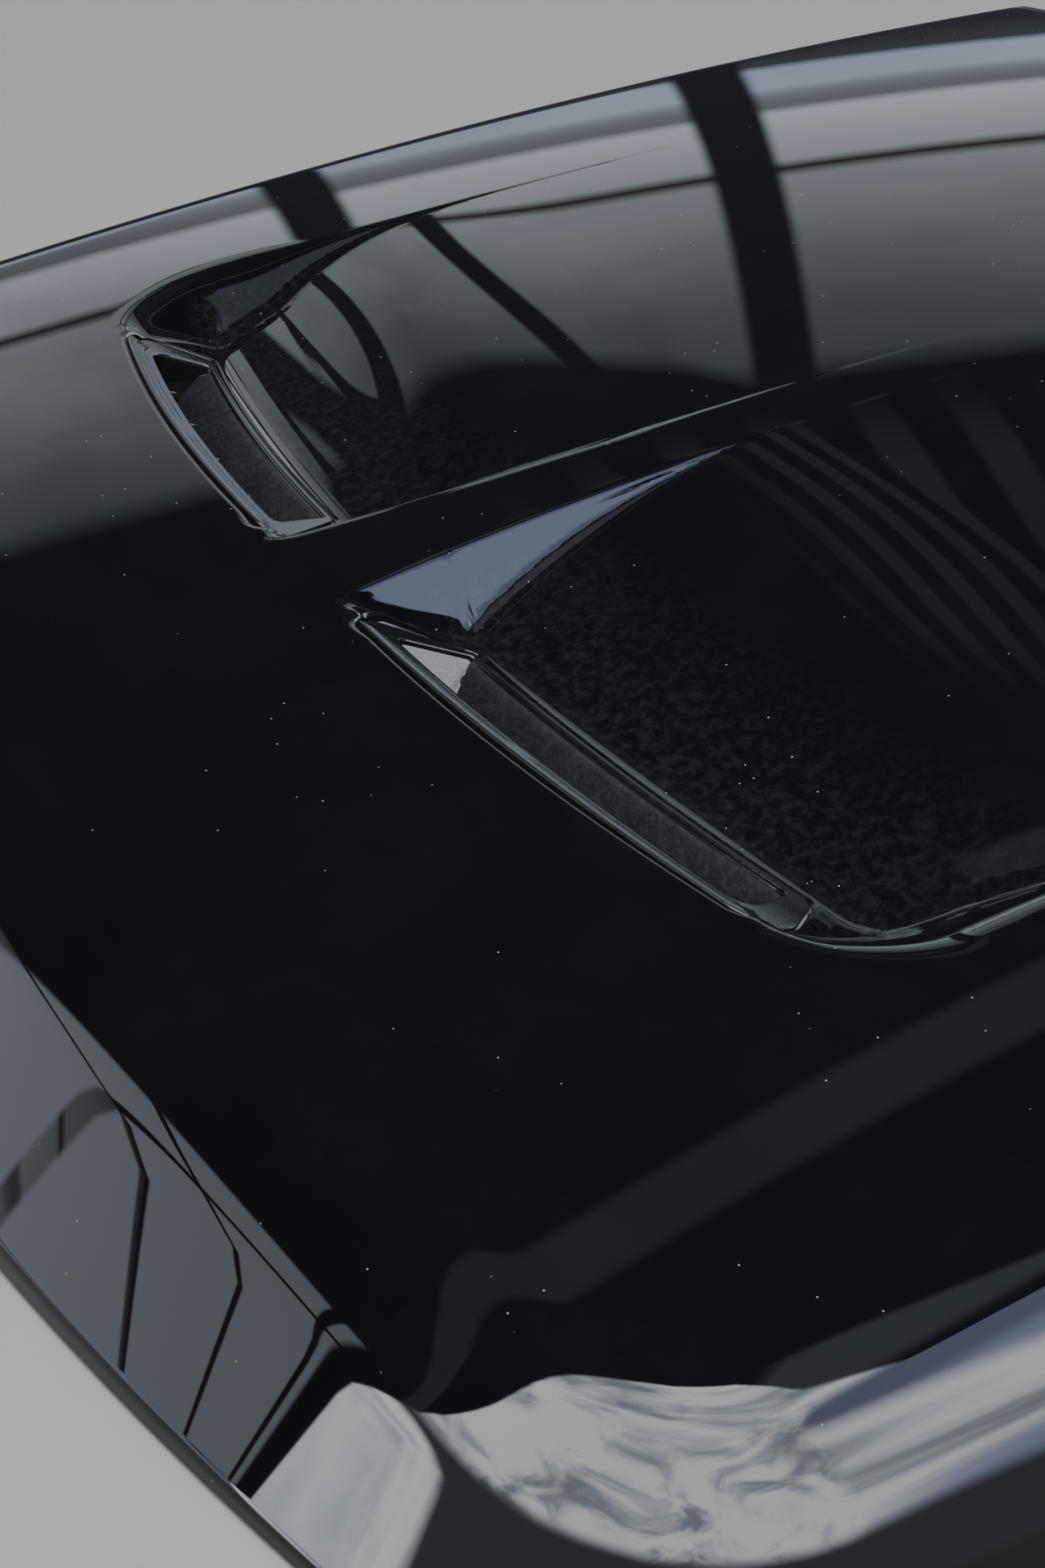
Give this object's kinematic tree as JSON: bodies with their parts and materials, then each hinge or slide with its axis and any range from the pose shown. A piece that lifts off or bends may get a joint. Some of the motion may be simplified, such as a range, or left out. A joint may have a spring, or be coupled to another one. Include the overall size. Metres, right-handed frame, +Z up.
{
  "type": "vented clamshell bonnet",
  "caption": "Wide clamshell car bonnet with swept recessed air vents, pressed inner frame, strikers, seals and a rear hinge pair.",
  "frame": {"origin": "centre of the four body bolts of the two hinge brackets, on the underside of their base plates", "axes": "+X to the car's left, +Y to the windscreen, +Z up, bonnet closed"},
  "size_m": [1.6348, 1.3608, 0.23],
  "materials": {
    "paint": "gloss black clear-coated paint",
    "inner_panel": "semi-gloss black undercoat",
    "gloss_black": "gloss moulded plastic",
    "rough_plastic": "coarse textured moulded plastic",
    "felt": "pressed fibre mat",
    "primed_steel": "satin black electrocoat",
    "zinc_steel": "zinc plated",
    "seal_rubber": "matt extruded rubber",
    "stop_rubber": "matt moulded rubber"
  },
  "bodies": {
    "hinge_base": {"hinge_bracket_left": "primed_steel", "hinge_bracket_right": "primed_steel", "hinge_pin_left": "zinc_steel", "hinge_pin_right": "zinc_steel"},
    "bonnet": {"outer_skin": "paint", "inner_frame": "inner_panel", "insulation_pad": "felt", "safety_catch": "zinc_steel", "front_seal": "seal_rubber", "cowl_seal": "seal_rubber", "vent_bezel_left": "gloss_black", "vent_bezel_right": "gloss_black", "vent_tray_left": "rough_plastic", "vent_tray_right": "rough_plastic", "hinge_arm_left": "primed_steel", "hinge_arm_right": "primed_steel", "striker_left": "zinc_steel", "striker_right": "zinc_steel", "bump_stop_left": "stop_rubber", "bump_stop_right": "stop_rubber", "strut_bracket_left": "zinc_steel", "strut_bracket_right": "zinc_steel", "strut_stud_left": "zinc_steel", "strut_stud_right": "zinc_steel"}
  },
  "joints": [
    {"name": "bonnet_hinge", "type": "hinge", "parent": "hinge_base", "child": "bonnet", "pos_m": [0, 0.01, 0.062], "axis": [-1, 0, 0], "range_deg": [0, 50]}
  ]
}
